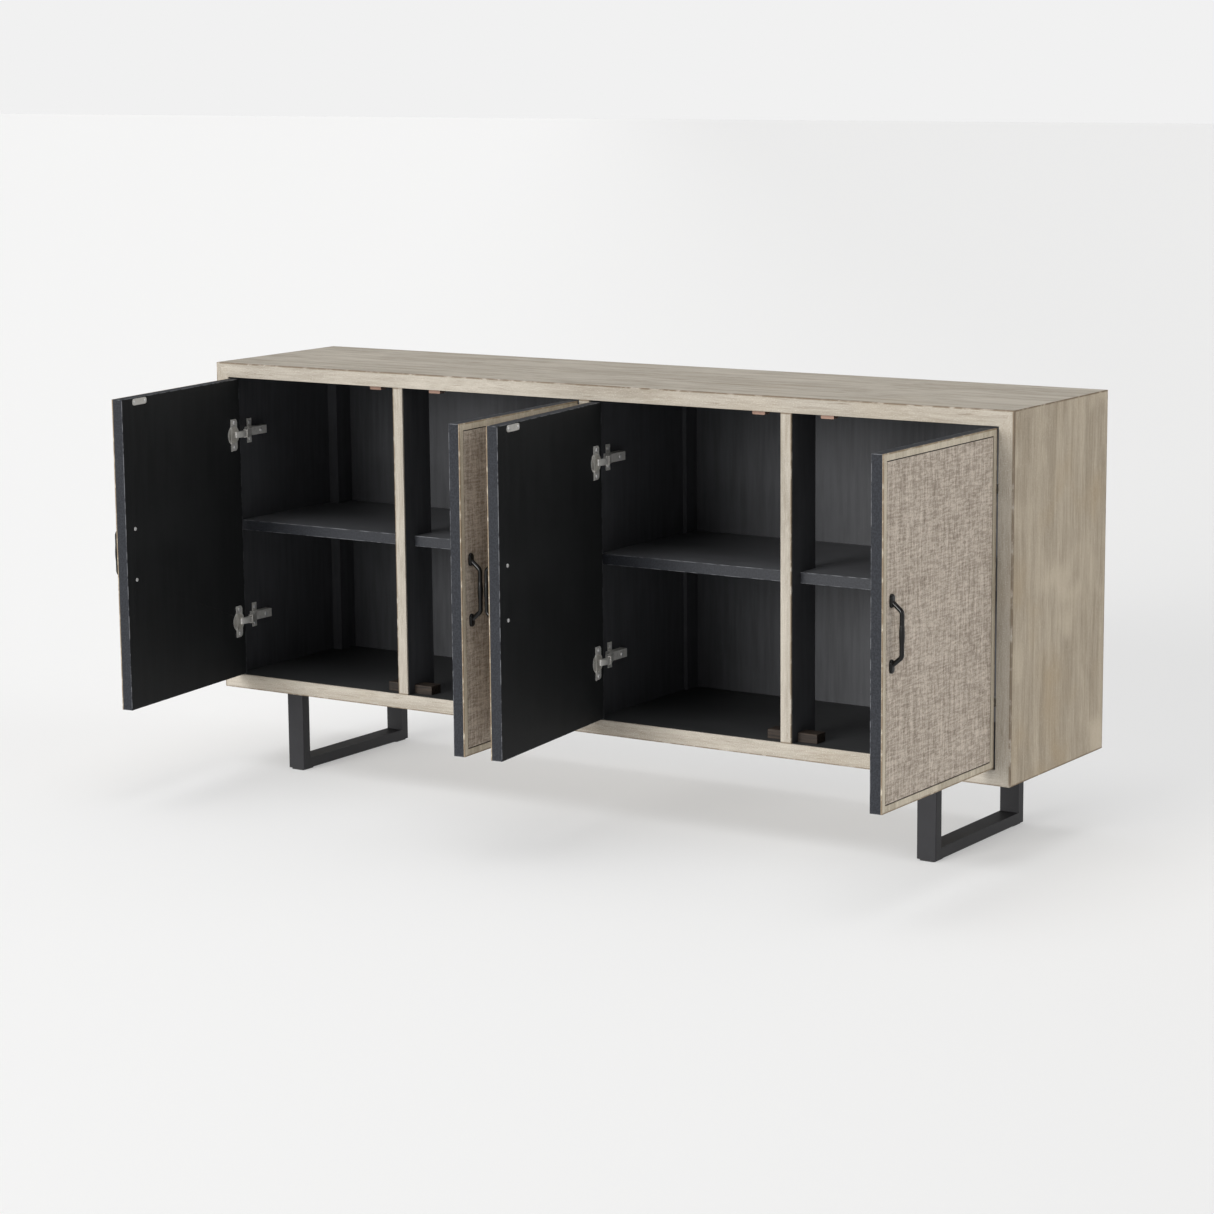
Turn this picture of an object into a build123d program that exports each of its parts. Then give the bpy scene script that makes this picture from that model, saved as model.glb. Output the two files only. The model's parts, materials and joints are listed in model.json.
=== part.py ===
from build123d import *
import math
import os

os.makedirs("parts", exist_ok=True)

# Sideboard with four inset doors, shown standing open. Millimetres, +X right, +Y to the back, +Z up.
# The origin is on the floor, at the centre of everything's footprint with the doors open.

# Overall
WIDTH = 1730.0
DEPTH = 370.0
HEIGHT = 800.0
LEG_HEIGHT = 154.0

# Carcase: a mitred outer skin, lined inside with black board, edged in front with mitred strips
SKIN = 18.0
LINING = 10.0
EDGING = 4.0
STILE_WIDTH = 22.0
MID_POST_DEPTH = 81.0
BACK_THICKNESS = 5.0
BACK_RECESS = 8.0
CORNER_POST = (22.0, 45.0)
REAR_BATTEN = (8.0, 38.0)

# Shelves
SHELF_THICKNESS = 20.0
SHELF_SETBACK = 30.0
SHELF_CENTRE = 295.0
SHELF_GAP = 1.0
PIN_RADIUS = 2.5
PIN_DEPTH = 8.0
PIN_REACH = 8.0
PIN_SEAT = 0.1
PIN_FRONT = 62.0
PIN_BACK = 270.0

# Doors
DOOR_THICKNESS = 22.0
DOOR_GAP = 2.5
BORDER_WIDTH = 12.0
BORDER_DEPTH = 2.0
PANEL_GROOVE = 2.0
PANEL_DEPTH = 1.5

# Door furniture
HANDLE_INSET = 29.0
HANDLE_CENTRES = 96.0
HANDLE_LENGTH = 130.0
HANDLE_PROJECTION = 24.5
HANDLE_ROD = 4.0
HANDLE_SWELL = 4.8
HANDLE_STRAIGHT = 74.0
HANDLE_BEND = 9.0
HANDLE_FOOT = (13.0, 23.0, 5.0)
HANDLE_DOME = 3.5
HANDLE_ROOT = 3.0
HANDLE_HOLE = 7.5
STRIKE = (45.0, 1.5, 12.0)
STRIKE_INSET = 56.0
STRIKE_DROP = 8.0
STRIKE_SCREWS = 17.5
CATCH = (26.0, 16.0, 9.0)
CATCH_GAP = 0.4
STOP = (40.0, 30.0, 17.0)
STOP_GAP = 0.3

# Cup hinges
HINGE_INSET = 108.0
CUP_INSET = 24.0
CUP_RADIUS = 17.5
CUP_DEPTH = 14.0
CUP_WALL = 0.8
RIM_WIDTH = 1.5
FLANGE = (22.0, 0.8, 62.0)
FLANGE_OFFSET = -2.0
FLANGE_LIP = (1.2, 1.6)
FLANGE_SCREWS = 24.0
ARM_WIDTH = 16.0
ARM_WALL = 2.0
ARM_TIP = 3.5
ARM_TOP = 15.0
ARM_BEND = 50.0
ARM_BACK = 96.0
ARM_NECK = 7.5
ARM_TIP_DEPTH = 6.5
WEB = 1.5
LINK_WIDTH = 7.0
LINK_SPAN = (-6.0, 49.0)
RUN_GAP = 0.5
LINK_SIDE_GAP = 0.3
MOUNT_BASE = (50.0, 6.0)
MOUNT_WING = (12.0, 2.0, 48.0)
MOUNT_SCREW_DEPTH = 59.0
MOUNT_SCREWS = 16.0
ARM_SCREW_DEPTH = 78.0

# Legs
TUBE = (38.0, 20.0)
TUBE_WALL = 1.5
TUBE_EASE = 2.0
LEG_INSET = 165.0
LEG_FRONT = 12.0
LEG_BACK = 16.0
LEG_PLATE = 4.0
VENT_RADIUS = 4.0
GLIDE = (30.0, 34.0, 3.0)

# Fasteners: shank radius, head radius, head height
PLATE_SCREW = (1.9, 3.6, 1.8)
DOOR_SCREW = (1.7, 3.4, 1.8)
STRIKE_SCREW = (1.4, 2.5, 1.2)
HANDLE_SCREW = (2.0, 3.4, 2.0)
LEG_SCREW = (2.5, 5.0, 3.0)
BACK_SCREW = (1.5, 3.2, 1.5)
MOUNT_BITE = 9.0
CUP_BITE = 12.0
STRIKE_BITE = 10.0
LEG_BITE = 16.0
BACK_BITE = 14.0
FIT = 0.05
DOWEL_RADIUS = 4.0
DOWEL_HALF = 15.0

# Door angles from closed, as the piece stands
OPEN_ANGLES = {"outer_left": 83.0, "inner_left": 93.0, "inner_right": 83.0, "outer_right": 90.0}
LINK_RATIO = 0.66

# Worked out from the driving sizes
WALL = SKIN + LINING
INSIDE = WIDTH / 2 - WALL
FLOOR = LEG_HEIGHT + WALL
CEILING = HEIGHT - WALL
BAY = (2 * INSIDE - 3 * STILE_WIDTH) / 4
DOOR_WIDTH = BAY - 2 * DOOR_GAP
DOOR_HEIGHT = CEILING - FLOOR - 2 * DOOR_GAP
DOOR_BOTTOM = FLOOR + DOOR_GAP
FRONT = (DOOR_WIDTH - DEPTH) / 2
BACK = FRONT + DEPTH
BACK_PANEL = BACK - BACK_RECESS - BACK_THICKNESS
POST_X = BAY + STILE_WIDTH
PANEL_FACE = BORDER_DEPTH - PANEL_DEPTH
HINGE_HEIGHTS = (HINGE_INSET, DOOR_HEIGHT - HINGE_INSET)
SHELF_TOP = FLOOR + SHELF_CENTRE + SHELF_THICKNESS / 2
SHELF_BOTTOM = SHELF_TOP - SHELF_THICKNESS
LEG_X = WIDTH / 2 - LEG_INSET

# Each door: which way it runs from its hinge edge (+1 to the right), and the X of that edge
HALF_STILE = STILE_WIDTH / 2
DOORS = {
    "outer_left": (1, -INSIDE + DOOR_GAP),
    "inner_left": (-1, -HALF_STILE - DOOR_GAP),
    "inner_right": (1, HALF_STILE + DOOR_GAP),
    "outer_right": (-1, INSIDE - DOOR_GAP),
}


# ---------------------------------------------------------------- helpers

def block(x, y, z):
    """A box between three (low, high) spans."""
    centre = Pos(sum(x) / 2, sum(y) / 2, sum(z) / 2)
    return centre * Box(x[1] - x[0], y[1] - y[0], z[1] - z[0])


def prism_y(outline, y):
    """An (x, z) outline carried along Y."""
    face = make_face(Polyline([(px, y[0], pz) for px, pz in outline], close=True))
    return extrude(face, amount=y[1] - y[0], dir=(0, 1, 0))


def prism_z(outline, z):
    """An (x, y) outline carried along Z."""
    face = make_face(Polyline([(px, py, z[0]) for px, py in outline], close=True))
    return extrude(face, amount=z[1] - z[0], dir=(0, 0, 1))


def rod(start, way, length, radius):
    """A cylinder from a point, along a direction."""
    place = Plane(origin=start, z_dir=way)
    return place * Cylinder(radius, length, align=(Align.CENTER, Align.CENTER, Align.MIN))


def screw(seat, way, size, bite):
    """A pan head standing on the seat, with its shank going the given way."""
    shank, head, height = size
    back = tuple(-c for c in way)
    body = rod(seat, way, bite, shank) + rod(seat, back, height, head)
    rim = body.edges().filter_by(GeomType.CIRCLE).filter_by(lambda e: abs(e.radius - head) < FIT)
    top = rim.sort_by(lambda e: -e.center().dot(Vector(*back)))[0]
    return fillet(top, height * 0.6)


def screw_hole(seat, way, size, bite):
    """The hole for a screw's shank, a little wider and deeper than the shank."""
    return rod(seat, way, bite + FIT, size[0] + FIT)


def mitred_frame(x, z, width, y):
    """Four strips with mitred corners around a rectangle: bottom, top, left, right."""
    outer = [(x[0], z[0]), (x[1], z[0]), (x[1], z[1]), (x[0], z[1])]
    inner = [(x[0] + width, z[0] + width), (x[1] - width, z[0] + width),
             (x[1] - width, z[1] - width), (x[0] + width, z[1] - width)]
    strips = []
    for a, b in ((0, 1), (2, 3), (3, 0), (1, 2)):
        strips.append(prism_y([outer[a], outer[b], inner[b], inner[a]], y))
    return strips


def flipped(shape, hand):
    """The shape itself, or its mirror image across X."""
    return shape if hand > 0 else mirror(shape, about=Plane.YZ)


def save(node, pieces):
    """Writes one node: every solid of every piece given."""
    solids = [solid for piece in pieces for solid in piece.solids()]
    whole = solids[0] if len(solids) == 1 else Compound(children=solids)
    export_step(whole, "parts/" + node + ".step")


# ---------------------------------------------------------------- carcase fasteners

def mirrored_pairs(values):
    """Each value with its negative."""
    return [side * v for v in values for side in (-1, 1)]


def dowel_places():
    """Foot points of the upright dowels: two in the partition, one in each mid post."""
    depths = [FRONT + EDGING + MID_POST_DEPTH / 2]
    places = [(x, depths[0]) for x in mirrored_pairs([POST_X])]
    places += [(0, depths[0]), (0, BACK_PANEL - 40)]
    return places


def dowels(extra=0.0):
    """Upright dowels, half in the board's end and half in the lining and skin."""
    rods = []
    for x, y in dowel_places():
        for z in (FLOOR, CEILING):
            rods.append(rod((x, y, z - DOWEL_HALF - extra), (0, 0, 1), 2 * (DOWEL_HALF + extra),
                            DOWEL_RADIUS + extra))
    return rods


def back_screw_places():
    """Screws round each half of the back: along top and bottom, up the side and up the partition."""
    across = [INSIDE * share for share in (0.12, 0.37, 0.63, 0.88)]
    up = [FLOOR + (CEILING - FLOOR) * share for share in (0.1, 0.5, 0.9)]
    places = [(x, z) for x in mirrored_pairs(across) for z in (FLOOR - LINING / 2, CEILING + LINING / 2)]
    places += [(x, z) for x in mirrored_pairs([INSIDE + LINING / 2, HALF_STILE / 2]) for z in up]
    return places


def back_screws():
    """The screws that hold the back panels."""
    seats = [(x, BACK - BACK_RECESS, z) for x, z in back_screw_places()]
    return [screw(seat, (0, -1, 0), BACK_SCREW, BACK_BITE) for seat in seats]


def back_screw_holes():
    """Their holes, through the back and into the boards."""
    seats = [(x, BACK - BACK_RECESS, z) for x, z in back_screw_places()]
    return [screw_hole(seat, (0, -1, 0), BACK_SCREW, BACK_BITE) for seat in seats]


def leg_screw_places():
    """Three screws up through each leg frame's flat bar."""
    front = FRONT + LEG_FRONT + TUBE[1]
    back = BACK - LEG_BACK - TUBE[1]
    depths = [front + (back - front) * share for share in (0.15, 0.5, 0.85)]
    return [(x, y) for x in mirrored_pairs([LEG_X]) for y in depths]


def shelf_pin_places():
    """Where each shelf pin leaves its board, and the way it points."""
    places = []
    z = SHELF_BOTTOM - PIN_SEAT - PIN_RADIUS
    for y in (FRONT + PIN_FRONT, FRONT + PIN_BACK):
        for side in (-1, 1):
            places.append(((side * INSIDE, y, z), -side))
            places.append(((side * HALF_STILE, y, z), side))
    for x in mirrored_pairs([POST_X]):
        for side in (-1, 1):
            places.append(((x + side * HALF_STILE, FRONT + PIN_FRONT, z), side))
    return places


def shelf_pins(extra=0.0):
    """The pins that carry the shelves, half in the board."""
    pins = []
    for (x, y, z), way in shelf_pin_places():
        start = (x - way * (PIN_DEPTH + extra), y, z)
        pins.append(rod(start, (way, 0, 0), PIN_DEPTH + PIN_REACH + extra, PIN_RADIUS + extra))
    return pins


# ---------------------------------------------------------------- hinge parts on the carcase
# Drawn for a door that runs to the right from its hinge edge and is closed: the door's front corner is
# at x = 0, y = 0, and the wall it hangs on is at x = -DOOR_GAP. z = 0 is the hinge's own height.

CUP_MOUTH = CUP_RADIUS - CUP_WALL
SWEEP = math.hypot(CUP_INSET - math.sqrt(CUP_MOUTH ** 2 - (ARM_WIDTH / 2) ** 2), DOOR_THICKNESS + FLANGE[1])
LINK_INNER = SWEEP + RUN_GAP
LINK_MIDDLE = LINK_INNER + LINK_WIDTH / 2
WEB_INNER = LINK_INNER + LINK_WIDTH + RUN_GAP
LINK_THICKNESS = ARM_WIDTH - 2 * ARM_WALL - 2 * LINK_SIDE_GAP


def arm_profile():
    """Side view of the hinge arm: cheeks from the rounded tip in the cup back to the mounting plate."""
    tip_radius = SWEEP + RUN_GAP + ARM_TIP
    tip_v = DOOR_THICKNESS - ARM_TIP_DEPTH
    tip_u = math.sqrt(tip_radius ** 2 - tip_v ** 2)
    inner = ((tip_radius - ARM_TIP) / tip_radius)
    top = ARM_TOP - DOOR_GAP
    outer_radius = WEB_INNER + WEB
    angle = math.atan2(ARM_BEND, top) - math.acos(outer_radius / math.hypot(top, ARM_BEND))
    normal = (math.cos(angle), math.sin(angle))
    seat = MOUNT_BASE[1] - DOOR_GAP
    cheek = [(tip_u * inner, tip_v * inner), (ARM_NECK, ARM_BEND - WEB), (seat, ARM_BEND - WEB),
             (seat, ARM_BACK), (top, ARM_BACK), (top, ARM_BEND),
             (normal[0] * outer_radius, normal[1] * outer_radius)]
    under = top - WEB
    bend = (WEB_INNER - normal[0] * under) / normal[1]
    tip_side = (normal[0] * WEB_INNER + normal[1] * ARM_BEND, normal[1] * WEB_INNER - normal[0] * ARM_BEND)
    hollow = [(under, ARM_BACK + WEB), (under, bend), tip_side, (-ARM_BACK, tip_side[1]), (-ARM_BACK, ARM_BACK + WEB)]
    return cheek, (tip_u, tip_v), hollow


def hinge_arm():
    """The cranked channel that reaches from the plate into the cup."""
    cheek, tip, hollow = arm_profile()
    half = ARM_WIDTH / 2
    arm = prism_z(cheek, (-half, half)) + rod((*tip, -half), (0, 0, 1), ARM_WIDTH, ARM_TIP)
    arm -= prism_z(hollow, (-half + ARM_WALL, half - ARM_WALL))
    top = ARM_TOP - DOOR_GAP
    return arm - rod((top + WEB, ARM_SCREW_DEPTH, 0), (-1, 0, 0), 3 * WEB, HANDLE_SCREW[0] + FIT)


def mount_plate():
    """The cross-shaped plate that the arm sits on."""
    wall = -DOOR_GAP
    length, thickness = MOUNT_BASE
    base = block((wall, wall + thickness), (ARM_BACK - length, ARM_BACK), (-ARM_WIDTH / 2, ARM_WIDTH / 2))
    width, wing, height = MOUNT_WING
    wings = block((wall, wall + wing), (MOUNT_SCREW_DEPTH - width / 2, MOUNT_SCREW_DEPTH + width / 2),
                  (-height / 2, height / 2))
    plate = base + wings
    for side in (-1, 1):
        start = (wall - FIT, MOUNT_SCREW_DEPTH, side * MOUNT_SCREWS)
        plate -= rod(start, (1, 0, 0), wing + 2 * FIT, PLATE_SCREW[0] + FIT)
    start = (wall + thickness + FIT, ARM_SCREW_DEPTH, 0)
    return plate - rod(start, (-1, 0, 0), thickness - 1, HANDLE_SCREW[0] + FIT)


def mount_screws():
    """Two screws into the wall and the one that clamps the arm."""
    wall = -DOOR_GAP
    screws = []
    for side in (-1, 1):
        seat = (wall + MOUNT_WING[1], MOUNT_SCREW_DEPTH, side * MOUNT_SCREWS)
        screws.append(screw(seat, (-1, 0, 0), PLATE_SCREW, MOUNT_BITE + MOUNT_WING[1]))
    seat = (ARM_TOP - DOOR_GAP, ARM_SCREW_DEPTH, 0)
    return screws + [screw(seat, (-1, 0, 0), HANDLE_SCREW, ARM_TOP - 2)]


def mount_screw_holes():
    """The wall's holes for the two plate screws."""
    seats = [(-DOOR_GAP, MOUNT_SCREW_DEPTH, side * MOUNT_SCREWS) for side in (-1, 1)]
    return [screw_hole(seat, (-1, 0, 0), PLATE_SCREW, MOUNT_BITE) for seat in seats]


def hinge_link():
    """The curved link that swings between the arm's cheeks, from the arm into the cup. Its span is in
    degrees from the arm's tip."""
    tip_u, tip_v = arm_profile()[1]
    tip = math.degrees(math.atan2(tip_v, tip_u))
    start, end = (tip + angle for angle in LINK_SPAN)
    arc = CenterArc((0, 0), LINK_MIDDLE, start, end - start)
    face = SlotArc(arc, LINK_WIDTH)
    half = LINK_THICKNESS / 2
    return extrude(Pos(0, 0, -half) * face, amount=LINK_THICKNESS)


def on_carcase(make, name):
    """What make draws, at both hinge heights of one door."""
    hand, x = DOORS[name]
    pieces = []
    for height in HINGE_HEIGHTS:
        drawn = make()
        for piece in drawn if isinstance(drawn, list) else [drawn]:
            pieces.append(Pos(x, FRONT, DOOR_BOTTOM + height) * flipped(piece, hand))
    return pieces


def on_every_door(make):
    """The same for all four doors."""
    return [piece for name in DOORS for piece in on_carcase(make, name)]


# ---------------------------------------------------------------- carcase

def carcase():
    """The fixed box and everything screwed to it."""
    inside_y = (FRONT + EDGING, BACK_PANEL)
    skins = mitred_frame((-WIDTH / 2, WIDTH / 2), (LEG_HEIGHT, HEIGHT), SKIN, (FRONT + EDGING, BACK))
    leg_holes = [screw_hole((x, y, LEG_HEIGHT), (0, 0, 1), LEG_SCREW, LEG_BITE) for x, y in leg_screw_places()]
    upright = dowels(FIT)
    back_holes = back_screw_holes()
    mounts = on_every_door(mount_screw_holes)
    pins = shelf_pins(FIT)
    save("bottom_panel", [skins[0] - (leg_holes + upright)])
    save("top_panel", [skins[1] - upright])
    save("left_side_panel", [skins[2]])
    save("right_side_panel", [skins[3]])

    lined = (-INSIDE - LINING, INSIDE + LINING)
    floor = block(lined, inside_y, (FLOOR - LINING, FLOOR))
    ceiling = block(lined, inside_y, (CEILING, CEILING + LINING))
    save("floor_lining", [floor - (upright + back_holes)])
    save("top_lining", [ceiling - (upright + back_holes)])
    sides = []
    for side in (-1, 1):
        span = sorted((side * INSIDE, side * (INSIDE + LINING)))
        board = block(span, inside_y, (FLOOR, CEILING))
        sides.append(board - (back_holes + mounts + pins))
    save("side_linings", sides)

    edging = mitred_frame((-WIDTH / 2, WIDTH / 2), (LEG_HEIGHT, HEIGHT), WALL, (FRONT, FRONT + EDGING))
    save("front_rails", edging[:2])
    save("front_stiles", edging[2:])
    strips = []
    for x in (-POST_X, 0, POST_X):
        strips.append(block((x - HALF_STILE, x + HALF_STILE), (FRONT, FRONT + EDGING), (FLOOR, CEILING)))
    save("inner_stiles", strips)

    partition = block((-HALF_STILE, HALF_STILE), inside_y, (FLOOR, CEILING))
    save("centre_partition", [partition - (upright + back_holes + mounts + pins)])
    posts = []
    for x in (-POST_X, POST_X):
        post = block((x - HALF_STILE, x + HALF_STILE),
                     (FRONT + EDGING, FRONT + EDGING + MID_POST_DEPTH), (FLOOR, CEILING))
        posts.append(post - (upright + pins))
    save("mid_posts", posts)

    rear = []
    backs = []
    for side in (-1, 1):
        wide, deep = CORNER_POST
        rear.append(block(sorted((side * INSIDE, side * (INSIDE - wide))), (BACK_PANEL - deep, BACK_PANEL),
                          (FLOOR, CEILING)))
        wide, deep = REAR_BATTEN
        rear.append(block(sorted((side * HALF_STILE, side * (HALF_STILE + wide))),
                          (BACK_PANEL - deep, BACK_PANEL), (FLOOR, CEILING)))
        panel = block(sorted((side * FIT, side * (INSIDE + LINING))), (BACK_PANEL, BACK_PANEL + BACK_THICKNESS),
                      (FLOOR - LINING, CEILING + LINING))
        backs.append(panel - back_holes)
    save("rear_posts", rear)
    save("back_panels", backs)
    save("back_screws", back_screws())
    save("carcase_dowels", dowels())


def shelf(side):
    """One long shelf, notched round its mid post, the corner post and the rear batten."""
    ends = sorted((side * (INSIDE - SHELF_GAP), side * (HALF_STILE + SHELF_GAP)))
    z = (SHELF_BOTTOM, SHELF_TOP)
    board = block(ends, (FRONT + SHELF_SETBACK, BACK_PANEL - SHELF_GAP), z)
    post = FRONT + EDGING + MID_POST_DEPTH + SHELF_GAP
    reach = HALF_STILE + SHELF_GAP
    board -= block((side * POST_X - reach, side * POST_X + reach), (FRONT, post), z)
    wide, deep = CORNER_POST
    corner = sorted((side * INSIDE, side * (INSIDE - wide - SHELF_GAP)))
    board -= block(corner, (BACK_PANEL - deep - SHELF_GAP, BACK_PANEL), z)
    wide, deep = REAR_BATTEN
    batten = sorted((0, side * (HALF_STILE + wide + SHELF_GAP)))
    return board - block(batten, (BACK_PANEL - deep - SHELF_GAP, BACK_PANEL), z)


def door_stops():
    """Blocks on the floor beside each mid post that the closed doors meet."""
    blocks = []
    wide, deep, high = STOP
    y = FRONT + DOOR_THICKNESS + STOP_GAP
    for x in (-POST_X, POST_X):
        for side in (-1, 1):
            face = x + side * HALF_STILE
            blocks.append(block(sorted((face, face + side * wide)), (y, y + deep), (FLOOR, FLOOR + high)))
    return blocks


def catches():
    """Magnetic catches under the top, each behind the strike plate of a closed door."""
    wide, deep, high = CATCH
    y = FRONT + DOOR_THICKNESS + STRIKE[1] + CATCH_GAP
    pieces = []
    for hand, x in DOORS.values():
        middle = x + hand * (DOOR_WIDTH - STRIKE_INSET)
        body = block((middle - wide / 2, middle + wide / 2), (y, y + deep), (CEILING - high, CEILING))
        pieces.append(fillet(body.edges().filter_by(Axis.Y).group_by(Axis.Z)[0], 2.0))
    return pieces


# ---------------------------------------------------------------- legs

def leg_frame(x):
    """A U of rectangular tube, closed at the top by a flat bar with a vent over each hollow."""
    wide, deep = TUBE
    y = (FRONT + LEG_FRONT, BACK - LEG_BACK)
    z = (GLIDE[2], LEG_HEIGHT)
    legs = block((x - wide / 2, x + wide / 2), y, z)
    inner = block((x - wide, x + wide), (y[0] + deep, y[1] - deep), (z[0] + deep, z[1] - LEG_PLATE))
    frame = legs - inner
    edges = frame.edges().filter_by(Axis.Z).group_by(Axis.Y)
    frame = fillet(edges[0] + edges[-1], TUBE_EASE)
    wall = TUBE_WALL
    across = (x - wide / 2 + wall, x + wide / 2 - wall)
    hollow = block(across, (y[0] + wall, y[1] - wall), (z[0] + wall, z[0] + deep - wall))
    for front in (y[0], y[1] - deep):
        hollow += block(across, (front + wall, front + deep - wall), (z[0] + wall, z[1] - LEG_PLATE))
    frame -= hollow
    for depth in (y[0] + deep / 2, y[1] - deep / 2):
        frame -= rod((x, depth, z[1] - 2 * LEG_PLATE), (0, 0, 1), 3 * LEG_PLATE, VENT_RADIUS)
    for place, depth in leg_screw_places():
        if place * x > 0:
            frame -= rod((place, depth, z[1] - 2 * LEG_PLATE), (0, 0, 1), 3 * LEG_PLATE, LEG_SCREW[0] + FIT)
    return frame


def leg_glides():
    """Plastic pads under the ends of each foot bar."""
    wide, deep, high = GLIDE
    pads = []
    for x in (-LEG_X, LEG_X):
        for y in (FRONT + LEG_FRONT + deep / 2 + TUBE_EASE, BACK - LEG_BACK - deep / 2 - TUBE_EASE):
            pad = block((x - wide / 2, x + wide / 2), (y - deep / 2, y + deep / 2), (0, high))
            pads.append(fillet(pad.edges().filter_by(Axis.Z), 4.0))
    return pads


# ---------------------------------------------------------------- doors
# Each door is drawn closed and running to the right from its hinge edge: x = 0 there, y = 0 on its front
# face, z = 0 at its bottom. It is then flipped if it hangs the other way, swung open and put in place.

def door_screws():
    """Every screw in a door, as (seat, way, size, bite)."""
    back = DOOR_THICKNESS
    screws = []
    for height in HINGE_HEIGHTS:
        for side in (-1, 1):
            seat = (CUP_INSET + FLANGE_OFFSET, back + FLANGE[1], height + side * FLANGE_SCREWS)
            screws.append((seat, (0, -1, 0), DOOR_SCREW, CUP_BITE))
    for side in (-1, 1):
        seat = (DOOR_WIDTH - HANDLE_INSET, back, DOOR_HEIGHT / 2 + side * HANDLE_CENTRES / 2)
        screws.append((seat, (0, -1, 0), HANDLE_SCREW, back - PANEL_FACE + HANDLE_HOLE - 1))
        seat = (DOOR_WIDTH - STRIKE_INSET + side * STRIKE_SCREWS, back + STRIKE[1], DOOR_HEIGHT - STRIKE_DROP)
        screws.append((seat, (0, -1, 0), STRIKE_SCREW, STRIKE_BITE))
    return screws


def door_pieces():
    """Slab, border, woven panel, handle, hinge cups, strike plate and screws of one door."""
    screws = door_screws()
    holes = [screw_hole(*each) for each in screws]
    slab = block((0, DOOR_WIDTH), (BORDER_DEPTH, DOOR_THICKNESS), (0, DOOR_HEIGHT))
    cups = []
    for height in HINGE_HEIGHTS:
        cup, bore = hinge_cup(height)
        slab -= bore
        cups.append(cup - holes)
    slab -= holes
    border = mitred_frame((0, DOOR_WIDTH), (0, DOOR_HEIGHT), BORDER_WIDTH, (0, BORDER_DEPTH))
    edge = BORDER_WIDTH + PANEL_GROOVE
    panel = block((edge, DOOR_WIDTH - edge), (PANEL_FACE, BORDER_DEPTH), (edge, DOOR_HEIGHT - edge))
    middle = DOOR_WIDTH - STRIKE_INSET
    top = DOOR_HEIGHT - STRIKE_DROP
    strike = block((middle - STRIKE[0] / 2, middle + STRIKE[0] / 2),
                   (DOOR_THICKNESS, DOOR_THICKNESS + STRIKE[1]), (top - STRIKE[2] / 2, top + STRIKE[2] / 2))
    strike = fillet(strike.edges().filter_by(Axis.Y), STRIKE[2] * 0.45)
    return {
        "slab": [slab],
        "border": border,
        "woven_panel": [panel - holes],
        "handle": [handle() - holes],
        "hinge_cups": cups,
        "strike_plate": [strike - holes],
        "screws": [screw(*each) for each in screws],
    }


def hinge_cup(height):
    """A drawn cup with its rim and flange, and the bore it drops into."""
    back = DOOR_THICKNESS
    mouth = (CUP_INSET, back + FLANGE[1], height)
    shell = rod((CUP_INSET, back - CUP_DEPTH, height), (0, 1, 0), CUP_DEPTH, CUP_RADIUS)
    rim = rod((CUP_INSET, back, height), (0, 1, 0), FLANGE[1], CUP_RADIUS + RIM_WIDTH)
    centre = CUP_INSET + FLANGE_OFFSET
    flange = block((centre - FLANGE[0] / 2, centre + FLANGE[0] / 2), (back, back + FLANGE[1]),
                   (height - FLANGE[2] / 2, height + FLANGE[2] / 2))
    flange = fillet(flange.edges().filter_by(Axis.Y).group_by(Axis.X)[0], FLANGE[0] / 3)
    lip = block((centre + FLANGE[0] / 2 - FLANGE_LIP[0], centre + FLANGE[0] / 2),
                (back, back + FLANGE[1] + FLANGE_LIP[1]), (height - FLANGE[2] / 2, height + FLANGE[2] / 2))
    cup = shell + rim + flange + lip
    cup -= rod(mouth, (0, -1, 0), CUP_DEPTH + FLANGE[1] - CUP_WALL, CUP_MOUTH)
    bore = rod((CUP_INSET, back, height), (0, -1, 0), CUP_DEPTH + FIT, CUP_RADIUS + FIT)
    return cup, bore


def handle():
    """A cast pull: a rod bent out from two domed tongues, swelling towards its middle."""
    x = DOOR_WIDTH - HANDLE_INSET
    z = DOOR_HEIGHT / 2
    wide, long, thick = HANDLE_FOOT
    straight = HANDLE_STRAIGHT / 2
    root = HANDLE_CENTRES / 2 + HANDLE_ROOT
    level = PANEL_FACE - HANDLE_PROJECTION + HANDLE_SWELL
    seat = PANEL_FACE - HANDLE_ROOT
    path = FilletPolyline((x, seat, z - root), (x, level, z - straight), (x, level, z + straight),
                          (x, seat, z + root), radius=HANDLE_BEND)
    pull = sweep(Plane(origin=path @ 0, z_dir=path % 0) * Circle(HANDLE_ROD), path=path)
    low = (x, level, z - straight)
    high = (x, level, z + straight)
    swell = make_face([ThreePointArc(low, (x, level - HANDLE_SWELL, z), high), Line(high, low)])
    pull += revolve(swell, Axis((x, level, z), (0, 0, 1)))
    for side in (-1, 1):
        end = z + side * (HANDLE_LENGTH - wide) / 2
        start = z + side * (HANDLE_LENGTH - 2 * long + wide) / 2
        tongue = block((x - wide / 2, x + wide / 2), (PANEL_FACE - thick, PANEL_FACE), sorted((start, end)))
        for centre in (start, end):
            tongue += rod((x, PANEL_FACE, centre), (0, -1, 0), thick, wide / 2)
        pull += fillet(tongue.faces().sort_by(Axis.Y)[0].edges(), HANDLE_DOME)
    return pull


def swing(shape, name, angle):
    """Flips a door-frame shape to the door's hand, swings it open and puts it in the cabinet."""
    hand, x = DOORS[name]
    return Pos(x, FRONT, DOOR_BOTTOM) * Rot(0, 0, -hand * angle) * flipped(shape, hand)


def door(name, pieces):
    """Writes one door's nodes and its pair of hinge links."""
    for part, shapes in pieces.items():
        save(name + "_door_" + part, [swing(shape, name, OPEN_ANGLES[name]) for shape in shapes])
    turn = OPEN_ANGLES[name] * LINK_RATIO
    links = [swing(Pos(0, 0, height) * hinge_link(), name, turn) for height in HINGE_HEIGHTS]
    save(name + "_hinge_links", links)


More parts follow.
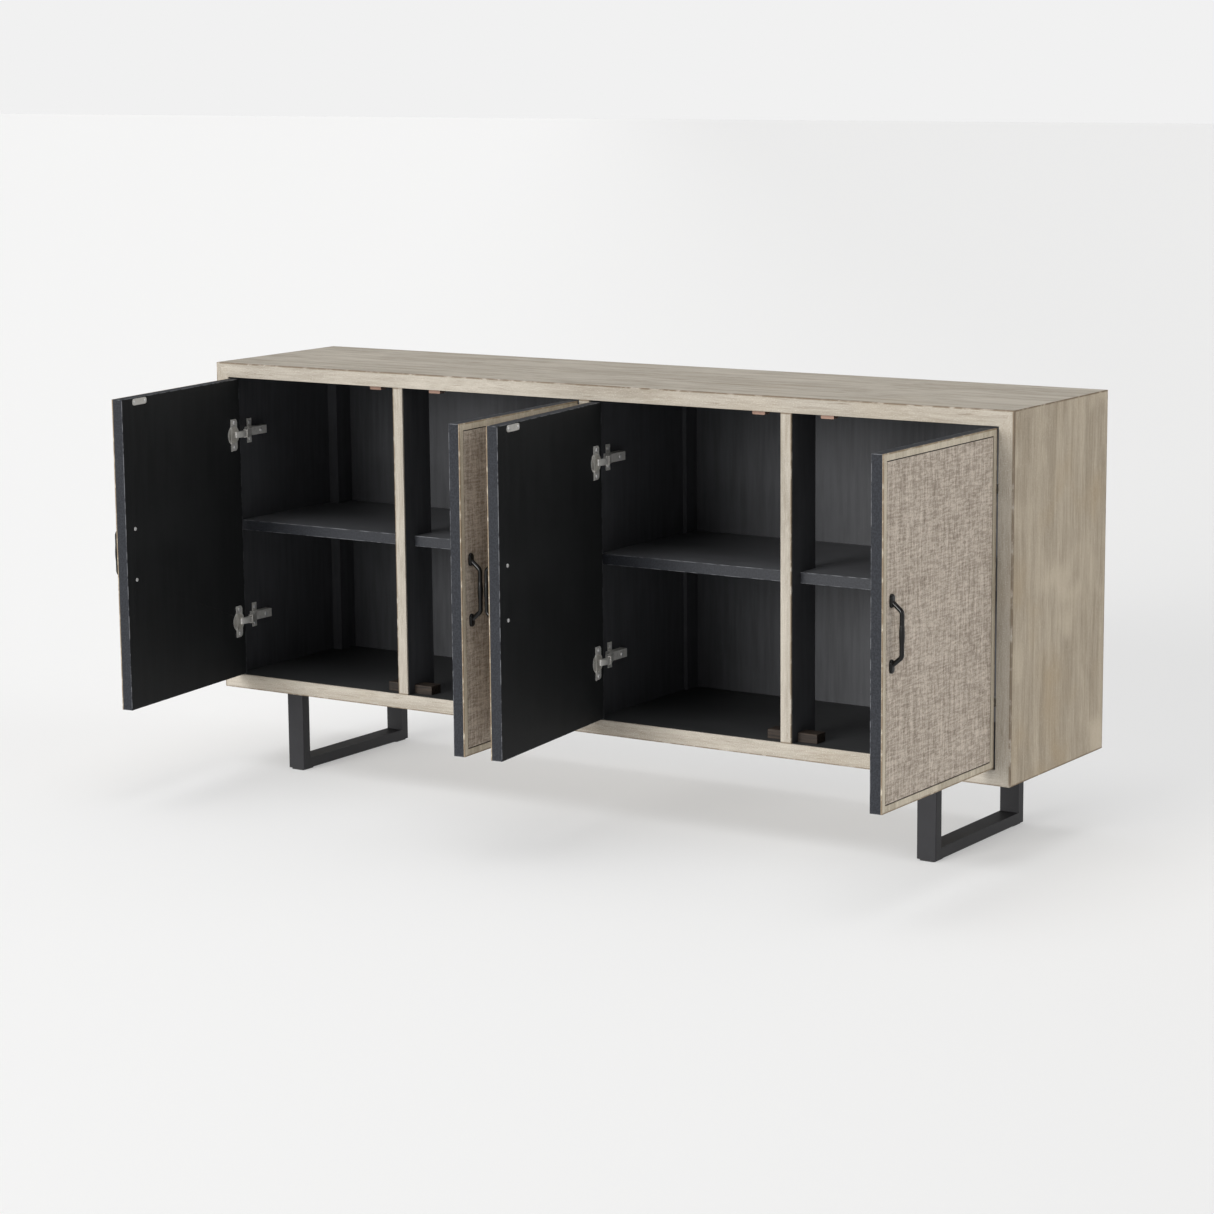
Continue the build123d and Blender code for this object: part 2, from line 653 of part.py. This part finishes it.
carcase()
save("left_shelf", [shelf(-1)])
save("right_shelf", [shelf(1)])
save("shelf_pins", shelf_pins())
save("door_stops", door_stops())
save("catches", catches())
save("hinge_mount_plates", on_every_door(mount_plate))
save("hinge_arms", on_every_door(hinge_arm))
save("hinge_mount_screws", on_every_door(mount_screws))
save("left_leg_frame", [leg_frame(-LEG_X)])
save("right_leg_frame", [leg_frame(LEG_X)])
save("leg_glides", leg_glides())
seats = [(x, y, LEG_HEIGHT - LEG_PLATE) for x, y in leg_screw_places()]
save("leg_screws", [screw(seat, (0, 0, 1), LEG_SCREW, LEG_BITE + LEG_PLATE) for seat in seats])
one_door = door_pieces()
for door_name in DOORS:
    door(door_name, one_door)
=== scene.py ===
"""Four-door sideboard: finishes, small details, studio and camera around the fixed frame. Metres."""

import json
import math

import bmesh
import bpy
from mathutils import Matrix, Vector


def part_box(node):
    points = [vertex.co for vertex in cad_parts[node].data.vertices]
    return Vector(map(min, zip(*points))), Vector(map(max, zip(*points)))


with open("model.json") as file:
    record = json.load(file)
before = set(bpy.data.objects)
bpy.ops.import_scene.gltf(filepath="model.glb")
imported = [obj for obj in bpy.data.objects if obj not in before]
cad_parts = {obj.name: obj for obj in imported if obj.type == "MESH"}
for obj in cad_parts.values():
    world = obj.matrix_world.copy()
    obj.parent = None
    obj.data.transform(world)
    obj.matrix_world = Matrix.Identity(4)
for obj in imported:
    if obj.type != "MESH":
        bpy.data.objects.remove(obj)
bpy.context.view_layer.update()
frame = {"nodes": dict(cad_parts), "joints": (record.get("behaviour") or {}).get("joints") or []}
NODES = frame["nodes"]
JOINTS = {joint["name"]: joint for joint in frame["joints"]}
CABINET_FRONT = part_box("front_rails")[0].y
DOOR_NAMES = ("outer_left", "inner_left", "inner_right", "outer_right")


# ---------------------------------------------------------------- shader maths

class Wire:
    """A shader socket that sums can be written with."""

    def __init__(self, graph, socket):
        self.graph = graph
        self.socket = socket

    def math(self, operation, *terms):
        values = dict(enumerate(terms))
        return self.graph.add("ShaderNodeMath", {"operation": operation}, values)

    def __add__(self, other):
        return self.math("ADD", self, other)

    def __radd__(self, other):
        return self.math("ADD", other, self)

    def __sub__(self, other):
        return self.math("SUBTRACT", self, other)

    def __rsub__(self, other):
        return self.math("SUBTRACT", other, self)

    def __mul__(self, other):
        return self.math("MULTIPLY", self, other)

    def __rmul__(self, other):
        return self.math("MULTIPLY", other, self)

    def __abs__(self):
        return self.math("ABSOLUTE", self)

    def sine(self):
        return self.math("SINE", self)

    def least(self, other):
        return self.math("MINIMUM", self, other)

    def most(self, other):
        return self.math("MAXIMUM", self, other)

    def rise(self, start, stop):
        """0 below start, 1 above stop, smooth between."""
        settings = {"interpolation_type": "SMOOTHSTEP"}
        values = {"Value": self, "From Min": start, "From Max": stop}
        return self.graph.add("ShaderNodeMapRange", settings, values, "Result")


class Graph:
    """A tree of nodes, all made by one method."""

    def __init__(self, tree):
        self.tree = tree
        self.tree.nodes.clear()

    def put(self, socket, value):
        """Gives a socket its link or its value."""
        if isinstance(value, Wire):
            self.tree.links.new(value.socket, socket)
        elif isinstance(value, (tuple, list)) and socket.type == "RGBA":
            socket.default_value = (*value[:3], 1.0)
        else:
            socket.default_value = value

    def find(self, sockets, key):
        """A socket by its number, or else by its identifier or name."""
        if isinstance(key, int):
            return sockets[key]
        by_identifier = [socket for socket in sockets if socket.identifier == key]
        by_name = [socket for socket in sockets if socket.name == key]
        return (by_identifier + by_name)[0]

    def node(self, kind, settings, values):
        """Any node: its settings first, then what its sockets hold."""
        node = self.tree.nodes.new(kind)
        for key, value in settings.items():
            setattr(node, key, value)
        for key, value in values.items():
            self.put(self.find(node.inputs, key), value)
        return node

    def add(self, kind, settings, values, output=0):
        """A node whose one output is wanted."""
        outputs = self.node(kind, settings, values).outputs
        return Wire(self, self.find(outputs, output))

    def place(self):
        """Position in the object's own metres."""
        return self.add("ShaderNodeTexCoord", {}, {}, "Object")

    def turned(self, place, origin, angle):
        """Position measured from an origin, turned about Z by an angle."""
        moved = self.add("ShaderNodeVectorMath", {"operation": "SUBTRACT"}, {0: place, 1: origin}, "Vector")
        values = {"Vector": moved, "Angle": angle}
        return self.add("ShaderNodeVectorRotate", {"rotation_type": "Z_AXIS"}, values, "Vector")

    def stretch(self, place, scale):
        """Position times a scale along each axis: the pattern is longest where the scale is least."""
        return self.add("ShaderNodeVectorMath", {"operation": "MULTIPLY"}, {0: place, 1: scale}, "Vector")

    def nudge(self, place, offset, amount):
        """Position plus amount times a vector."""
        values = {0: offset, 1: (amount,) * 3, 2: place}
        return self.add("ShaderNodeVectorMath", {"operation": "MULTIPLY_ADD"}, values, "Vector")

    def noise(self, place, scale, detail, rough, output=0):
        values = {"Vector": place, "Scale": scale, "Detail": detail, "Roughness": rough}
        return self.add("ShaderNodeTexNoise", {"noise_dimensions": "3D"}, values, output)

    def sway(self, place, scale):
        """A slow wandering vector."""
        return self.noise(place, scale, 2.0, 0.5, "Color")

    def mix(self, factor, a, b):
        """Colour a where the factor is 0, colour b where it is 1."""
        values = {"Factor_Float": factor, "A_Color": a, "B_Color": b}
        return self.add("ShaderNodeMix", {"data_type": "RGBA"}, values, "Result_Color")

    def xyz(self, place):
        node = self.node("ShaderNodeSeparateXYZ", {}, {"Vector": place})
        return [Wire(self, out) for out in node.outputs]

    def bump(self, height, strength, distance):
        values = {"Height": height, "Strength": strength, "Distance": distance}
        return self.add("ShaderNodeBump", {}, values)

    def across_faces(self, axes, turn):
        """1 on faces that look along one of the named axes of the board's own frame."""
        facing = self.add("ShaderNodeTexCoord", {}, {}, "Normal")
        if turn:
            facing = self.turned(facing, (0.0, 0.0, 0.0), turn[1])
        looks = [abs(part) for part in self.xyz(facing)]
        total, *others = [looks["xyz".index(axis)] for axis in axes]
        for more in others:
            total = total.most(more)
        return total.rise(0.6, 0.8)

    def edge_distance(self, place, low, high):
        """How far a point on a board's surface is from the board's nearest edge."""
        gaps = [(value - a).least(b - value) for value, a, b in zip(self.xyz(place), low, high)]
        near = gaps[0].least(gaps[1])
        far = gaps[0].most(gaps[1])
        return near.most(far.least(gaps[2]))


class Finish(Graph):
    """One material."""

    def __init__(self, name):
        self.material = bpy.data.materials.new(name)
        self.material.use_nodes = True
        super().__init__(self.material.node_tree)

    def finish(self, **sockets):
        """The main shader, with _ for the spaces in its sockets' names."""
        values = {key.replace("_", " "): value for key, value in sockets.items()}
        shader = self.add("ShaderNodeBsdfPrincipled", {}, values)
        self.node("ShaderNodeOutputMaterial", {}, {"Surface": shader})
        return self.material


# ---------------------------------------------------------------- colours

def srgb(red, green, blue):
    """A display colour of 0 to 255, as light."""
    shares = [value / 255 for value in (red, green, blue)]
    return tuple(s / 12.92 if s <= 0.04045 else ((s + 0.055) / 1.055) ** 2.4 for s in shares)


def scaled(colour, factor, lift=0.0):
    """A colour made lighter or darker."""
    return tuple(part * factor + lift for part in colour)


def tinted(colour, tint):
    return tuple(part * share for part, share in zip(colour, tint))


WHITE = (1.0, 1.0, 1.0)

MEAN_WOOD = srgb(164, 157, 146)
PALE_WOOD = srgb(191, 184, 172)
DARK_WOOD = srgb(132, 123, 109)
BROWN_WOOD = srgb(104, 88, 68)
CHALK = srgb(222, 216, 205)
OAK = srgb(160, 146, 124)
PLAIN_TINT = (1.0, 1.0, 1.0)
WARM_TINT = (0.97, 0.91, 0.82)
BORDER_TINT = (1.20, 1.17, 1.09)

UPRIGHT_BLACK = srgb(62, 63, 66)
LEVEL_BLACK = srgb(50, 51, 52)
SHELF_BLACK = srgb(78, 79, 82)
DOOR_BLACK = srgb(29, 30, 31)
SLATE = srgb(40, 42, 47)
RUBBED_BLACK = srgb(118, 120, 124)

TAUPE = srgb(172, 159, 145)
PALE_TAUPE = srgb(216, 205, 192)
DARK_TAUPE = srgb(108, 95, 82)

DARK_STAIN = srgb(26, 21, 18)
PALE_STAIN = srgb(58, 48, 40)

# ---------------------------------------------------------------- finishes

GRAINS = {"x": (1.0, 14.0, 14.0), "z": (14.0, 14.0, 1.0)}
CRACKS = {"x": (0.8, 1.3, 1.3), "z": (1.3, 1.3, 0.8)}
WOOD_WEAR = (0.0008, 0.0034)
BLACK_WEAR = (0.0004, 0.0016)
WARP_PITCH = 0.0024
WEFT_PITCH = 0.0030
THREAD_WANDER = 0.0015


def grey_wood(name, grain, low, high, turn=None, tint=PLAIN_TINT, speckle=0.25, streaks=0.75, clouds=0.2):
    """Open-grain timber under a grey wash, rubbed back to brown along its edges."""
    g = Finish(name)
    place = g.place()
    if turn:
        place = g.turned(place, *turn)
    flow = g.nudge(g.stretch(place, GRAINS[grain]), g.sway(place, 3.0), 0.30)
    broad = g.noise(flow, 2.6, 3.0, 0.55)
    streak = g.noise(flow, 9.0, 5.0, 0.65)
    fine = g.noise(flow, 30.0, 3.0, 0.6)
    crack = g.noise(g.stretch(flow, CRACKS[grain]), 26.0, 2.0, 0.4)
    patch = g.noise(place, 3.5, 3.0, 0.6)
    fleck = g.noise(place, 520.0, 3.0, 0.6)
    shades = (MEAN_WOOD, PALE_WOOD, DARK_WOOD, BROWN_WOOD, CHALK, OAK)
    mean, pale, dark, brown, chalk, oak = (tinted(shade, tint) for shade in shades)
    body = g.mix((1.0 - streak.rise(0.34, 0.52)) * streaks, mean, dark)
    body = g.mix(streak.rise(0.50, 0.68) * streaks * 0.8, body, pale)
    body = g.mix(broad.rise(0.48, 0.68) * 0.35, body, pale)
    body = g.mix((1.0 - broad.rise(0.34, 0.50)) * 0.35, body, dark)
    body = g.mix(fine.rise(0.52, 0.68) * 0.30, body, pale)
    body = g.mix((1.0 - fine.rise(0.34, 0.48)) * 0.30, body, dark)
    body = g.mix(crack.rise(0.66, 0.74) * 0.45, body, brown)
    body = g.mix(patch.rise(0.50, 0.70) * clouds, body, oak)
    body = g.mix((1.0 - patch.rise(0.34, 0.50)) * clouds, body, pale)
    body = g.mix(fleck.rise(0.55, 0.68) * speckle, body, chalk)
    body = g.mix((1.0 - fleck.rise(0.34, 0.46)) * speckle * 0.8, body, dark)
    worn = 1.0 - g.edge_distance(place, low, high).rise(*WOOD_WEAR)
    ragged = g.noise(place, 48.0, 3.0, 0.6).rise(0.30, 0.52)
    body = g.mix(worn * ragged * 0.85, body, brown)
    relief = streak * 0.5 + fine * 0.4 + fleck * 0.2 - crack.rise(0.62, 0.74) * 0.6
    return g.finish(Base_Color=body, Roughness=0.60 + fine * 0.2, Specular_IOR_Level=0.3,
                    Normal=g.bump(relief, 0.45, 0.0007))


def black_board(name, grain, shade, gloss=0.42, shine=0.3, turn=None, limits=None, edges=None):
    """Black-stained board under a satin lacquer, with brush marks.

    Faces along the axes named in edges are slate; a board given its limits has rubbed corners.
    """
    g = Finish(name)
    place = g.place()
    if turn:
        place = g.turned(place, *turn)
    streak = g.noise(g.stretch(place, GRAINS[grain]), 7.0, 4.0, 0.6)
    cloud = g.noise(place, 5.0, 4.0, 0.6)
    speck = g.noise(place, 300.0, 2.0, 0.5)
    body = g.mix(streak.rise(0.3, 0.7), scaled(shade, 0.82), scaled(shade, 1.15))
    body = g.mix(cloud.rise(0.45, 0.70) * 0.5, body, scaled(shade, 1.45))
    body = g.mix(speck.rise(0.68, 0.76) * 0.25, body, scaled(shade, 2.6))
    if edges:
        slate = g.mix(speck.rise(0.40, 0.62), scaled(SLATE, 0.8), scaled(SLATE, 1.25))
        body = g.mix(g.across_faces(edges, turn), body, slate)
    if limits:
        worn = 1.0 - g.edge_distance(place, *limits).rise(*BLACK_WEAR)
        ragged = g.noise(place, 60.0, 3.0, 0.6).rise(0.38, 0.60)
        body = g.mix(worn * ragged * 0.7, body, RUBBED_BLACK)
    rough = gloss + streak * 0.14 + cloud * 0.16
    return g.finish(Base_Color=body, Roughness=rough, Specular_IOR_Level=shine,
                    Normal=g.bump(streak + speck * 0.4, 0.15, 0.0004))


def woven_cloth(name, turn):
    """Taupe slub cloth: uneven upright and cross threads over and under each other."""
    g = Finish(name)
    place = g.turned(g.place(), *turn)
    loose = g.nudge(place, g.sway(place, 45.0), THREAD_WANDER)
    x, _, z = g.xyz(loose)
    warp = (x * (2 * math.pi / WARP_PITCH)).sine()
    weft = (z * (2 * math.pi / WEFT_PITCH)).sine()
    over = warp * weft
    upright = g.noise(g.stretch(loose, (1.0, 1.0, 0.11)), 330.0, 3.0, 0.6)
    cross = g.noise(g.stretch(loose, (0.14, 1.0, 1.0)), 330.0, 3.0, 0.6)
    slub = g.noise(g.stretch(loose, (1.0, 1.0, 0.6)), 420.0, 3.0, 0.6)
    bands = g.noise(g.stretch(loose, (1.0, 1.0, 0.03)), 120.0, 3.0, 0.6)
    warp_thread = g.mix(upright.rise(0.36, 0.64), DARK_TAUPE, PALE_TAUPE)
    weft_thread = g.mix(cross.rise(0.36, 0.64), DARK_TAUPE, PALE_TAUPE)
    body = g.mix(over.rise(-0.35, 0.35), warp_thread, weft_thread)
    body = g.mix(0.35, body, TAUPE)
    body = g.mix(slub.rise(0.54, 0.68) * 0.40, body, PALE_TAUPE)
    body = g.mix((1.0 - slub.rise(0.34, 0.46)) * 0.45, body, DARK_TAUPE)
    body = g.mix(bands.rise(0.50, 0.66) * 0.18, body, PALE_TAUPE)
    body = g.mix((1.0 - bands.rise(0.34, 0.48)) * 0.18, body, DARK_TAUPE)
    height = over * 0.5 + upright * 0.6 + cross * 0.6
    return g.finish(Base_Color=body, Roughness=0.88, Specular_IOR_Level=0.2, Sheen_Weight=0.1,
                    Sheen_Roughness=0.5, Normal=g.bump(height, 0.6, 0.0010))


def coated_metal(name, shade, rough=0.48, grain=700.0, depth=0.00015, clear=0.0, shine=0.3):
    """Powder-coated or cast metal with a fine orange-peel skin and rubbed patches."""
    g = Finish(name)
    place = g.place()
    skin = g.noise(place, grain, 2.0, 0.5)
    cloud = g.noise(place, 26.0, 3.0, 0.6)
    body = g.mix(cloud.rise(0.4, 0.7) * 0.5, shade, scaled(shade, 1.35, 0.002))
    body = g.mix(skin.rise(0.58, 0.72) * 0.3, body, scaled(shade, 1.8, 0.004))
    return g.finish(Base_Color=body, Roughness=rough + cloud * 0.12, Specular_IOR_Level=shine,
                    Coat_Weight=clear, Coat_Roughness=0.12, Normal=g.bump(skin, 0.35, depth))


def plated_steel(name, shade, rough, metal):
    """Nickel, zinc or copper plate with fine brushing and dulled patches."""
    g = Finish(name)
    place = g.place()
    brush = g.noise(g.stretch(place, (1.0, 1.0, 14.0)), 160.0, 3.0, 0.6)
    dull = g.noise(place, 120.0, 3.0, 0.6)
    body = g.mix(dull.rise(0.48, 0.7) * 0.5, shade, scaled(shade, 0.72))
    return g.finish(Base_Color=body, Metallic=metal, Roughness=rough + brush * 0.12 + dull * 0.1,
                    Normal=g.bump(brush, 0.15, 0.0001))


def stained_block(name):
    """Dark brown hardwood, its grain showing through the stain."""
    g = Finish(name)
    grain = g.noise(g.stretch(g.place(), GRAINS["x"]), 20.0, 4.0, 0.6)
    body = g.mix(grain.rise(0.3, 0.7), DARK_STAIN, PALE_STAIN)
    return g.finish(Base_Color=body, Roughness=0.6, Specular_IOR_Level=0.3,
                    Normal=g.bump(grain, 0.3, 0.0005))


def moulded_plastic(name, shade):
    """Fine-textured moulded pads."""
    g = Finish(name)
    skin = g.noise(g.place(), 900.0, 2.0, 0.5)
    body = g.mix(skin.rise(0.4, 0.7) * 0.4, shade, scaled(shade, 1.5))
    return g.finish(Base_Color=body, Roughness=0.6 + skin * 0.1, Normal=g.bump(skin, 0.3, 0.0002))


def studio_paper():
    """Seamless pale paper, a little darker towards the right: painted shade, for the light falling off that
    way.
    """
    g = Finish("studio_paper")
    x, y, _ = g.xyz(g.place())
    # Painted shade: the paper's colour darkens along this line, standing in for the light falling off to
    # the right.
    painted_shade_along = x * 0.834 + y * 0.551
    body = g.mix(painted_shade_along.rise(-1.4, 2.2), (0.53, 0.53, 0.53), (0.45, 0.45, 0.45))
    body = g.mix(g.noise(g.place(), 1.5, 2.0, 0.5) * 0.03, body, (0.5, 0.5, 0.5))
    return g.finish(Base_Color=body, Roughness=0.9, Specular_IOR_Level=0.1,
                    Emission_Color=WHITE, Emission_Strength=0.36)


# ---------------------------------------------------------------- dressing the CAD nodes

WELD_GAP = 0.00001
ROUNDING_STEPS = 2
SHARP_ANGLE = math.radians(35.0)
BOARD_EDGE = 0.0007
FRONT_EDGE = 0.0008
SMALL_EDGE = 0.0004
BORDER_EDGE = 0.0003
INNER_STILE_EDGE = 0.0005
SHELF_EDGE = 0.0006
DOOR_EDGE = 0.0006
SKIN_SPARE = 0.002


def soften(node, width):
    """Rounds a piece's sharp edges a little, as a sander would."""
    weld = node.modifiers.new("weld", "WELD")
    weld.merge_threshold = WELD_GAP
    bevel = node.modifiers.new("bevel", "BEVEL")
    bevel.width = width
    bevel.segments = ROUNDING_STEPS
    bevel.limit_method = "ANGLE"
    bevel.angle_limit = SHARP_ANGLE


def dress(name, material, edge=0.0):
    node = NODES[name]
    node.data.materials.clear()
    node.data.materials.append(material)
    if edge:
        soften(node, edge)


def dress_carcase():
    for name in ("top_panel", "bottom_panel"):
        dress(name, grey_wood(name + "_wood", "x", *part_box(name), speckle=0.15), BOARD_EDGE)
    for name in ("left_side_panel", "right_side_panel"):
        wood = grey_wood(name + "_wood", "z", *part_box(name), tint=WARM_TINT, speckle=0.3,
                         streaks=0.5, clouds=0.75)
        dress(name, wood, BOARD_EDGE)
    rails = grey_wood("front_rail_wood", "x", *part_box("front_rails"), speckle=0.45, streaks=0.3)
    dress("front_rails", rails, FRONT_EDGE)
    stiles = grey_wood("front_stile_wood", "z", *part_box("front_stiles"), speckle=0.45, streaks=0.3)
    dress("front_stiles", stiles, FRONT_EDGE)
    inner = grey_wood("inner_stile_wood", "z", *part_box("inner_stiles"), speckle=0.35, streaks=0.4)
    dress("inner_stiles", inner, INNER_STILE_EDGE)
    upright = black_board("upright_black", "z", UPRIGHT_BLACK)
    level = black_board("level_black", "x", LEVEL_BLACK, gloss=0.36)
    for name in ("side_linings", "centre_partition", "mid_posts", "rear_posts", "back_panels"):
        dress(name, upright)
    for name in ("top_lining", "floor_lining"):
        dress(name, level)
    for name in ("left_shelf", "right_shelf"):
        board = black_board(name + "_black", "x", SHELF_BLACK, 0.34, 0.35, limits=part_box(name), edges="y")
        dress(name, board, SHELF_EDGE)


def dress_fittings():
    steel = plated_steel("nickel_plate", srgb(226, 224, 219), 0.24, 0.45)
    zinc = plated_steel("zinc_plate", srgb(222, 222, 222), 0.28, 0.5)
    copper = plated_steel("copper_plate", srgb(150, 122, 108), 0.34, 0.6)
    coat = coated_metal("black_powder_coat", srgb(31, 31, 34))
    cast = coated_metal("black_cast_iron", srgb(8, 8, 8), 0.2, 420.0, 0.0002, 0.25, 0.15)
    stained = stained_block("stained_block")
    plastic = moulded_plastic("pad_plastic", srgb(28, 28, 29))
    for name in ("hinge_mount_plates", "hinge_arms"):
        dress(name, steel)
    for name in ("hinge_mount_screws", "back_screws", "leg_screws", "shelf_pins"):
        dress(name, zinc)
    dress("catches", copper)
    dress("door_stops", stained, FRONT_EDGE)
    dress("carcase_dowels", stained)
    for name in ("left_leg_frame", "right_leg_frame"):
        dress(name, coat, SMALL_EDGE)
    dress("leg_glides", plastic)
    for name in DOOR_NAMES:
        dress(name + "_door_handle", cast)
        dress(name + "_door_hinge_cups", steel)
        dress(name + "_hinge_links", steel)
        dress(name + "_door_strike_plate", steel)
        dress(name + "_door_screws", zinc)


def door_turn(name):
    """A door's corner, the angle it stands open at, and its hand: 1 if it reaches to the right."""
    joint = JOINTS[name + "_door_swing"]
    corner = Vector(joint["pos_m"])
    hand = -joint["axis"][2]
    angle = math.radians(-joint["range_deg"][0]) * hand
    return (corner.x, corner.y, 0.0), angle, hand


def dress_doors():
    """Each door's finishes are measured from its own corner and along its own edges."""
    # This door stands square to the front, so its box gives a door's width and thickness.
    square_low, square_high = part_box("outer_right_door_slab")
    width = square_high.y - square_low.y
    thickness = square_high.x - square_low.x
    for name in DOOR_NAMES:
        *turn, hand = door_turn(name)
        bottom, top = (limit.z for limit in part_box(name + "_door_slab"))
        left, right = sorted((0.0, hand * width))
        low = (left, 0.0, bottom)
        high = (right, thickness + SKIN_SPARE, top)
        slab = black_board(name + "_slab_black", "z", DOOR_BLACK, 0.46, 0.16, turn, (low, high), "xz")
        dress(name + "_door_slab", slab, DOOR_EDGE)
        border = grey_wood(name + "_border_wood", "z", low, high, turn, BORDER_TINT, 0.35, 0.5)
        dress(name + "_door_border", border, BORDER_EDGE)
        dress(name + "_door_woven_panel", woven_cloth(name + "_cloth", turn))


# ---------------------------------------------------------------- studio

PAPER_REACH = 40.0
PAPER_PARTS = 8
LAMP_HEIGHT = 4.0
SKY_LOW, SKY_HIGH = 0.05, 0.22
SKY_PALE, SKY_DIM = 0.88, 0.30

# The way each lamp's light travels, its strength, its width in degrees and its colour.
LAMPS = {
    "key": ((0.17, 0.96, -0.22), 2.75, 28.0, (1.0, 0.99, 0.97)),
    "overhead": ((0.05, 0.15, -1.0), 1.5, 55.0, WHITE),
    "side_fill": ((-0.94, -0.20, -0.22), 1.0, 50.0, (1.0, 0.985, 0.95)),
}


def paper_floor():
    """A wide sheet of paper under everything, its far edge out at the horizon."""
    mesh = bmesh.new()
    steps = [-PAPER_REACH + 2 * PAPER_REACH * i / PAPER_PARTS for i in range(PAPER_PARTS + 1)]
    rows = [[mesh.verts.new((x, y, 0.0)) for x in steps] for y in steps]
    for near, far in zip(rows, rows[1:]):
        for i in range(PAPER_PARTS):
            mesh.faces.new((near[i], near[i + 1], far[i + 1], far[i]))
    data = bpy.data.meshes.new("paper_floor")
    mesh.to_mesh(data)
    mesh.free()
    floor = bpy.data.objects.new("paper_floor", data)
    bpy.context.scene.collection.objects.link(floor)
    data.materials.append(studio_paper())


def far_light(name, towards, strength, width, colour):
    """A big softbox far away."""
    data = bpy.data.lights.new(name, "SUN")
    data.energy = strength
    data.angle = math.radians(width)
    data.color = colour
    light = bpy.data.objects.new(name, data)
    light.location = (0.0, 0.0, LAMP_HEIGHT)
    light.rotation_euler = Vector(towards).to_track_quat("-Z", "Y").to_euler()
    bpy.context.scene.collection.objects.link(light)


def pale_surround():
    """Light from all round: pale at the horizon, to meet the paper, and dimmer overhead."""
    world = bpy.data.worlds.new("studio")
    world.use_nodes = True
    g = Graph(world.node_tree)
    height = g.xyz(g.add("ShaderNodeTexCoord", {}, {}, "Generated"))[2]
    values = {"Value": height, "From Min": SKY_LOW, "From Max": SKY_HIGH,
              "To Min": SKY_PALE, "To Max": SKY_DIM}
    strength = g.add("ShaderNodeMapRange", {}, values, "Result")
    glow = g.add("ShaderNodeBackground", {}, {"Color": WHITE, "Strength": strength})
    g.node("ShaderNodeOutputWorld", {}, {"Surface": glow})
    bpy.context.scene.world = world


def studio():
    pale_surround()
    bpy.context.scene.view_settings.view_transform = "Standard"
    paper_floor()
    for name, lamp in LAMPS.items():
        far_light(name, *lamp)


CAMERA_YAW = math.radians(33.469)
CAMERA_PITCH = math.radians(9.973)
CAMERA_ROLL = math.radians(-0.54)
CAMERA_PLACE = Vector((3.31128, CABINET_FRONT - 4.93929, 1.43558))
CAMERA_LENS = 97.525
CAMERA_SENSOR = 36.0


def camera():
    forward = Vector((-math.sin(CAMERA_YAW) * math.cos(CAMERA_PITCH),
                      math.cos(CAMERA_YAW) * math.cos(CAMERA_PITCH), -math.sin(CAMERA_PITCH)))
    level = forward.cross(Vector((0, 0, 1))).normalized()
    upright = level.cross(forward)
    right = level * math.cos(CAMERA_ROLL) + upright * math.sin(CAMERA_ROLL)
    up = upright * math.cos(CAMERA_ROLL) - level * math.sin(CAMERA_ROLL)
    data = bpy.data.cameras.new("camera")
    data.lens = CAMERA_LENS
    data.sensor_width = CAMERA_SENSOR
    eye = bpy.data.objects.new("camera", data)
    eye.matrix_world = Matrix((
        (right.x, up.x, -forward.x, CAMERA_PLACE.x),
        (right.y, up.y, -forward.y, CAMERA_PLACE.y),
        (right.z, up.z, -forward.z, CAMERA_PLACE.z),
        (0, 0, 0, 1),
    ))
    bpy.context.scene.collection.objects.link(eye)
    bpy.context.scene.camera = eye


camera()
dress_carcase()
dress_fittings()
dress_doors()
studio()
